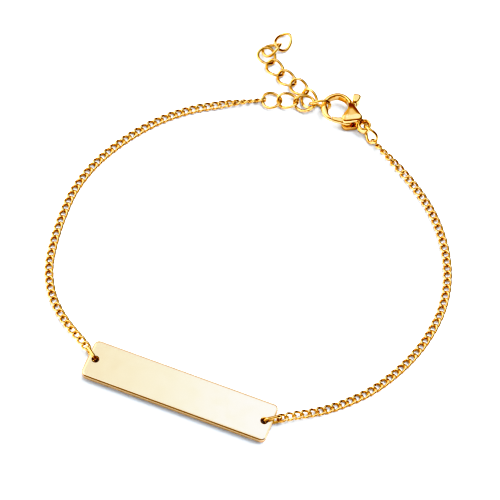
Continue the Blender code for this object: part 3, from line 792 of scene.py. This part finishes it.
def add_bar_rings():
    """Rings that stand on edge in the bar's holes."""
    length = BAR_RING_LENGTH - BAR_RING_WIRE
    height = BAR_THICKNESS + 2 * BAR_RING_PLAY + 2 * BAR_RING_WIRE
    outline = rounded_rectangle(length, height - BAR_RING_WIRE, BAR_RING_CORNER, 9)
    for side, name, heading in ((-1, "bar_ring_left", LEFT_RING_HEADING),
                                (1, "bar_ring_right", RIGHT_RING_HEADING)):
        middle = hole_middle(side) + direction(heading) * length / 2
        form = bmesh.new()
        wire_ring(form, [Vector((x, 0.0, z)) for x, z in outline], BAR_RING_WIRE / 2,
                  BAR_RING_WIRE / 2, BAR_RING_SIDES,
                  SHIFT @ lie_matrix(middle, heading, 0.0, 0.0))
        add_piece(name + "_wire", to_mesh(form), LINK_GOLD, name)


def bar_section(height, inset):
    """The bar's outline drawn in by an inset, with each end's own share of it."""
    outline = rounded_rectangle(BAR_LENGTH - (LEFT_END_SHARE + RIGHT_END_SHARE) * inset,
                                BAR_WIDTH - 2 * inset, BAR_CORNER_RADIUS - inset, 8)
    shift = (LEFT_END_SHARE - RIGHT_END_SHARE) * inset / 2
    return [Vector((x + shift, y, height)) for x, y in outline]


def hole_cutter(side):
    """Drill for a hole of the bar, which chamfers both rims."""
    middle = side * (BAR_LENGTH / 2 - BAR_HOLE_INSET)
    half = BAR_THICKNESS / 2
    wide = BAR_HOLE_RADIUS + 2 * BAR_CHAMFER
    rows = ((-half - BAR_CHAMFER, wide), (-half + BAR_CHAMFER, BAR_HOLE_RADIUS),
            (half - BAR_CHAMFER, BAR_HOLE_RADIUS), (half + BAR_CHAMFER, wide))
    form = bmesh.new()
    loft(form, [[Vector((x, y, height)) for x, y in round_points(middle, 0.0, radius, 32)]
                for height, radius in rows])
    return to_mesh(form)


def add_bar():
    """Plate whose top rolls off to a chamfer at its rim, with a chamfer round each hole."""
    half = BAR_THICKNESS / 2
    rim = half - BAR_ROLL_DROP
    form = bmesh.new()
    # The last row keeps the roll's shading off the flat top.
    loft(form, [bar_section(height, inset) for height, inset in (
        (-half, BAR_CHAMFER), (-half + BAR_CHAMFER, 0.0), (rim - BAR_CHAMFER, 0.0),
        (rim, BAR_CHAMFER), (half, BAR_CHAMFER + BAR_ROLL),
        (half, BAR_CHAMFER + 1.2 * BAR_ROLL))])
    mesh = to_mesh(form, BAR_SHARP)
    for side in (-1, 1):
        mesh = cut(mesh, hole_cutter(side))
    mesh.transform(SHIFT @ bar_matrix())
    mesh.set_sharp_from_angle(angle=math.radians(BAR_SHARP))
    add_piece("bar_plate", mesh, BAR_GOLD_PAINTED_LIGHT, "bar")


def claw(form):
    """The hook, from its root in the body round to its tip at the gate."""
    profile = closed_curve([Vector(point) for point in CLAW_PROFILE], 4)
    rows = smooth_route([Vector(row) for row in CLAW_SECTIONS], 6)
    sections = []
    for outer_angle, inner_angle, inner, outer, height in rows:
        inside = direction(inner_angle) * CLAW_RADIUS * inner
        outside = direction(outer_angle) * CLAW_RADIUS * outer
        half = CLAW_HEIGHT * height / 2
        section = []
        for across, up in profile:
            point = inside.lerp(outside, across)
            point.z = half * up
            section.append(point)
        sections.append(section)
    loft(form, sections)


def shell_outline(rounds):
    """Outline round three circles given in claw radii, and its middle."""
    outline = [Vector(point) for point in hull_outline(
        [[value * CLAW_RADIUS for value in row] for row in rounds], 14)]
    return outline, sum(outline, Vector((0.0, 0.0))) / len(outline)


def shell(form, rounds, rows):
    """Half of the body. Rows are shares of the clasp's half height and of the outline."""
    outline, middle = shell_outline(rounds)
    loft(form, [[Vector((*middle.lerp(point, size), share * CLASP_HEIGHT / 2))
                 for point in outline] for share, size in rows])


def dome(form):
    """Upper shell, from the slot up, with its crest near its crisp front."""
    outline, middle = shell_outline(DOME_ROUNDS)
    front = direction(DOME_FRONT).to_2d()
    reach = [(point - middle).dot(front) for point in outline]
    low = LEVER_THICKNESS / 2 + LEVER_PLAY - DOME_OVERHANG
    full_rise = DOME_RISE * (CLASP_HEIGHT / 2 - low)
    sections = [[Vector((*point, low - DOME_SKIRT)) for point in outline]]
    for turn in DOME_TURNS:
        size = math.cos(math.radians(turn)) ** DOME_SQUARENESS
        rise = full_rise * math.sin(math.radians(max(turn, 1))) ** DOME_SQUARENESS
        section = []
        for point in outline:
            spot = middle.lerp(point, size)
            share = ((spot - middle).dot(front) - min(reach)) / (max(reach) - min(reach))
            if share < DOME_CREST:
                fall = DOME_BACK_FALL * (1 - share / DOME_CREST) ** 2
            else:
                fall = DOME_FRONT_FALL * ((share - DOME_CREST) / (1 - DOME_CREST)) ** 1.4
            section.append(Vector((*spot, low + rise * (1 - fall))))
        sections.append(section)
    loft(form, sections)


def eye(form):
    """The clasp's own ring, which holds the clasp link."""
    mid_radius = (EYE_RADIUS + EYE_HOLE_RADIUS) / 2
    half_width = (EYE_RADIUS - EYE_HOLE_RADIUS) / 2
    profile = closed_curve([Vector(point) for point in EYE_PROFILE], 4)
    sections = []
    for i in range(EYE_STEPS):
        out = direction(360.0 * i / EYE_STEPS)
        section = []
        for across, up in profile:
            point = out * (mid_radius + half_width * across)
            point.x += EYE_DISTANCE
            point.z = EYE_HEIGHT / 2 * up
            section.append(point)
        sections.append(section)
    loft(form, sections, closed=True)


def slot_cutter():
    """Room for the lever, closed and open. The outline goes round the pivot by heading."""
    pivot = Vector((PIVOT_X, PIVOT_Y))
    hub = HUB_RADIUS + LEVER_PLAY
    reach = SLOT_REACH * CLAW_RADIUS
    gate_tip = Vector(LEVER_INNER[-1]) * CLAW_RADIUS - pivot
    gate = math.degrees(math.atan2(gate_tip.y, gate_tip.x)) % 360
    knob = math.degrees(math.atan2(KNOB_Y - PIVOT_Y, KNOB_X - PIVOT_X))
    arm = KNOB_WIDTH * ARM_SHARE + LEVER_PLAY
    inner = LEVER_PLAY + GATE_ROOM * HUB_RADIUS

    def edge(heading, offset, far):
        along = direction(heading).to_2d()
        aside = Vector((-along.y, along.x)) * offset
        distance = reach if far else math.sqrt(hub * hub - offset * offset)
        return tuple(pivot + aside + along * distance)

    # From the open gate out and round past the closed one, then along the hub.
    opened = gate - LEVER_OPENING
    outline = [edge(opened, -inner, False), edge(opened, -inner, True),
               edge((opened + 300.0) / 2, 0.0, True), edge(300.0, 0.0, True),
               edge(345.0, 0.0, True), edge(345.0, 0.0, False)]
    outline += [edge(heading, 0.0, False) for heading in (5.0, 30.0, 55.0)]
    # Round the arm, from open to closed, then along the hub back to the gate.
    outline += [edge(knob - LEVER_OPENING, -arm, False), edge(knob - LEVER_OPENING, -arm, True),
                edge(knob, arm, True), edge(knob, arm, False)]
    outline += [edge(150.0, 0.0, False), edge(170.0, 0.0, False)]
    slot = LEVER_THICKNESS / 2 + LEVER_PLAY
    form = bmesh.new()
    prism(form, outline, -slot, slot)
    return to_mesh(form)


def recess_cutter():
    inside, outside = RECESS_RADII
    corners = ((inside, RECESS_LOW), (outside, RECESS_LOW), (outside, RECESS_HIGH),
               (inside, RECESS_HIGH))
    form = bmesh.new()
    loft(form, [[direction(heading) * CLAW_RADIUS * radius + Vector((0.0, 0.0, height))
                 for radius, height in corners] for heading in RECESS_HEADINGS])
    return to_mesh(form)


def opening_cutter():
    """Keeps the body clear of the claw's round opening."""
    rim = [tuple(direction(heading).to_2d() * CLAW_RADIUS * CLAW_OPENING)
           for heading in range(-58, 61, 4)]
    form = bmesh.new()
    prism(form, [(0.0, 0.0), *rim], -CLASP_HEIGHT, CLASP_HEIGHT)
    return to_mesh(form)


def neck(form):
    """Block between the body's back and the middle of the eye's wall."""
    back = LOWER_ROUNDS[1][0] * CLAW_RADIUS
    wall = EYE_DISTANCE - (EYE_RADIUS + EYE_HOLE_RADIUS) / 2
    half = EYE_RADIUS * NECK_WIDTH
    height = EYE_HEIGHT * NECK_HEIGHT
    prism(form, ((back, -half), (wall, -half), (wall, half), (back, half)), -height, height)


def add_clasp_body():
    """Claw, lower and upper shell, dome, eye and neck in one cast piece, with its pin."""
    form = bmesh.new()
    claw(form)
    shell(form, LOWER_ROUNDS, LOWER_SHELL)
    shell(form, UPPER_ROUNDS, UPPER_SHELL)
    dome(form)
    eye(form)
    neck(form)
    mesh = cast(form, voxel=0.055, smoothing=3,
                cutters=(slot_cutter(), recess_cutter(), opening_cutter()))
    pin = bmesh.new()
    pin.from_mesh(mesh)
    prism(pin, round_points(PIVOT_X, PIVOT_Y, PIVOT_RADIUS, 24), -CLASP_HEIGHT * PIN_HEIGHT,
          CLASP_HEIGHT * PIN_HEIGHT)
    pin.to_mesh(mesh)
    pin.free()
    mesh.transform(SHIFT @ clasp_matrix())
    shade(mesh, CAST_SHARP)
    add_piece("clasp_shell", mesh, CLASP_GOLD, "clasp_body")


def thumb_knob(form, middle):
    """Rounded knob that fans out away from the pivot."""
    along = middle.normalized()
    turn = Matrix.Rotation(math.atan2(along.y, along.x) - math.pi / 2, 4, "Z")
    sections = []
    for share, size in KNOB_ROWS:
        section = []
        for x, y in rounded_rectangle(KNOB_WIDTH * size, KNOB_DEPTH * KNOB_LENGTH_SHARE * size,
                                      KNOB_DEPTH * KNOB_CORNER_SHARE * size, 6):
            fan = 1.0 + KNOB_FAN * y / KNOB_DEPTH
            y -= KNOB_BACK_SHARE * KNOB_DEPTH
            spot = turn @ Vector((x * fan, y, share * KNOB_HEIGHT / 2))
            section.append(middle.to_3d() + spot)
        sections.append(section)
    loft(form, sections)


def add_clasp_lever():
    """Gate, hub, thumb arm and knob in one cast piece, made about the pivot."""
    pivot = Vector((PIVOT_X, PIVOT_Y, 0.0))
    outer = [Vector(point) * CLAW_RADIUS - pivot.to_2d() for point in LEVER_OUTER]
    inner = [Vector(point) * CLAW_RADIUS - pivot.to_2d() for point in LEVER_INNER]
    hub = [direction(heading).to_2d() * HUB_RADIUS
           for heading in (-30.0, -10.0, 10.0, 30.0, 50.0, 155.0)]
    knob = Vector((KNOB_X - PIVOT_X, KNOB_Y - PIVOT_Y))
    along = knob.normalized()
    aside = Vector((along.y, -along.x)) * KNOB_WIDTH * ARM_SHARE
    arm_root = math.sqrt(HUB_RADIUS ** 2 - aside.length_squared)
    outline = [*outer, *hub[:-1], along * arm_root + aside, knob + aside, knob - aside,
               along * arm_root - aside, hub[-1], *inner]
    form = bmesh.new()
    prism(form, [tuple(point) for point in outline], -LEVER_THICKNESS / 2, LEVER_THICKNESS / 2)
    thumb_knob(form, knob)
    mesh = cast(form, voxel=0.04, smoothing=2, bevel=0.14)
    mesh.transform(SHIFT @ clasp_matrix() @ Matrix.Translation(pivot))
    add_piece("clasp_gate", mesh, CLASP_GOLD, "clasp_lever", body="clasp_lever")


# Floor, light and camera

def add_floor():
    """Matt white card. Reflections see it with painted shade, deeper the nearer the gold is."""
    form = bmesh.new()
    bmesh.ops.create_grid(form, x_segments=4, y_segments=4, size=FLOOR_HALF)
    mesh = bpy.data.meshes.new("floor")
    form.to_mesh(mesh)
    form.free()
    material = bpy.data.materials.new("white_card")
    material.use_nodes = True
    graph = Graph(material.node_tree)
    shader = material.node_tree.nodes["Principled BSDF"]
    place = graph.new("ShaderNodeTexCoord").outputs["Object"]
    card = graph.mix(graph.noise(place, FLOOR_CLOUDS), *FLOOR_COLOURS)
    path = graph.new("ShaderNodeLightPath").outputs
    # Painted shade: glossy rays see the card mixed towards a dark warm colour, most near the
    # gold.
    (near, near_share), (far, far_share) = SHADE_NEAR, SHADE_FAR
    share = graph.smooth(path["Ray Length"], near, far, near_share, far_share)
    graph.put(shader.inputs["Base Color"],
              graph.mix(graph.times(path["Is Glossy Ray"], share), card, FLOOR_PAINTED_SHADE))
    shader.inputs["Roughness"].default_value = 0.85
    shader.inputs["Specular IOR Level"].default_value = 0.1
    mesh.materials.append(material)
    floor = add_object("floor", mesh)
    floor.location.z = -FLOOR_DROP


def add_light():
    """Surroundings for the gold, and suns that light the floor but aren't seen in the gold.

    The surroundings are a soft box overhead that leans left and to the back, a bright
    left side, and a warm dark room that is darkest on the right.
    """
    world = bpy.data.worlds.new("studio")
    world.use_nodes = True
    bpy.context.scene.world = world
    graph = Graph(world.node_tree)
    way = graph.new("ShaderNodeTexCoord").outputs["Generated"]
    parts = graph.new("ShaderNodeSeparateXYZ")
    graph.put(parts.inputs[0], way)
    x, y, z = parts.outputs
    front = graph.times(graph.math("MINIMUM", y, 0.0), ROOF_LEAN_FRONT)
    lean = graph.math("ADD", z, graph.math("ADD", graph.times(x, ROOF_LEAN_X), front))
    right = graph.smooth(x, *ROOF_TURN)
    roof = graph.new("ShaderNodeCombineXYZ")
    for socket, begins, full, at_left, at_right in zip(roof.inputs, ROOF_BEGINS, ROOF_FULL,
                                                       ROOF_LEFT, ROOF_RIGHT):
        level = graph.smooth(right, 0.0, 1.0, at_left, at_right)
        graph.put(socket, graph.times(graph.smooth(lean, begins, full), level))
    side = graph.new("ShaderNodeVectorMath", operation="DOT_PRODUCT")
    graph.put(side.inputs[0], way)
    side.inputs[1].default_value = Vector(LEFT_SOURCE).normalized()
    left = graph.tint(LEFT_COLOUR, graph.smooth(side.outputs["Value"], *LEFT_STEP))
    room = graph.tint(ROOM_COLOUR, graph.smooth(x, *ROOM_STEP))
    background = world.node_tree.nodes["Background"]
    graph.put(background.inputs["Color"], graph.add(roof.outputs[0], left, room))
    for name, energy, angle, source in SUNS:
        lamp = bpy.data.lights.new(name, "SUN")
        lamp.energy = energy
        lamp.angle = math.radians(angle)
        sun = add_object(name, lamp)
        sun.rotation_euler = Vector(source).to_track_quat("Z", "Y").to_euler()
        sun.visible_glossy = False


def set_tone():
    """The photograph's hard contrast: deep warm darks and clipped lights."""
    view = bpy.context.scene.view_settings
    view.view_transform = "Standard"
    view.use_curve_mapping = True
    mapping = view.curve_mapping
    for index, points in TONE_CURVES:
        for level, shown in points:
            mapping.curves[index].points.new(level, shown)
    mapping.update()


def add_camera():
    """Straight from the front, aimed at the middle of the loop's plan."""
    tilt = math.radians(CAMERA_ELEVATION)
    data = bpy.data.cameras.new("camera")
    data.lens = CAMERA_LENS
    data.sensor_width = CAMERA_SENSOR
    data.clip_start = CAMERA_CLIP
    camera = add_object("camera", data)
    back = Vector((0.0, -math.cos(tilt), math.sin(tilt)))
    camera.location = SHIFT.translation + back * CAMERA_DISTANCE
    camera.rotation_euler = (math.pi / 2 - tilt, 0.0, 0.0)
    bpy.context.scene.camera = camera


add_bar()
add_bar_rings()
add_chains()
add_links()
add_clasp_body()
add_clasp_lever()
add_floor()
add_light()
add_camera()
set_tone()
